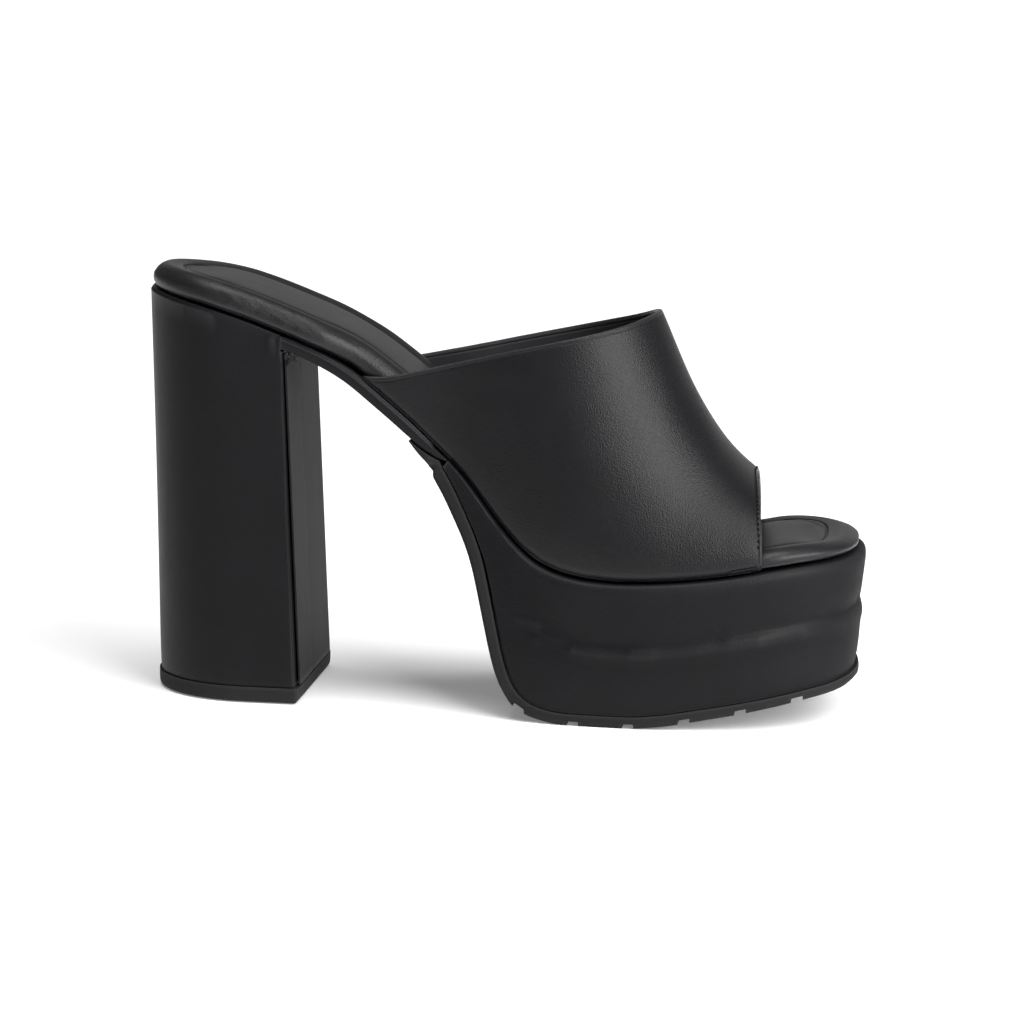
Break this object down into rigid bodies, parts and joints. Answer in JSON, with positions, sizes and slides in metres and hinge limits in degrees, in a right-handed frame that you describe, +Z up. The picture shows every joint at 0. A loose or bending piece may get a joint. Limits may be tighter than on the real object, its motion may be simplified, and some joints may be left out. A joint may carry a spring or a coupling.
{
  "type": "heeled mule",
  "caption": "Open-backed platform mule with a tall block heel, a wrapped platform, a padded footbed and a vamp that is open at the toe.",
  "frame": {"origin": "the middle of the shoe's length and width, on the plane that the heel and the forefoot stand on", "axes": "+X towards the toe, +Z up, -Y towards the outer (little toe) side"},
  "size_m": [0.2254, 0.0906, 0.1331],
  "materials": {
    "leather": "black, satin, fine pebble grain",
    "lining": "black padded leather, satin",
    "rubber": "black, matte"
  },
  "bodies": {
    "root": {"heel": "leather", "top_lift": "rubber", "breast_cover_outer": "leather", "breast_cover_inner": "leather", "shank_cover": "leather", "platform": "leather", "outsole": "rubber", "footbed": "lining", "upper": "leather"}
  },
  "joints": []
}
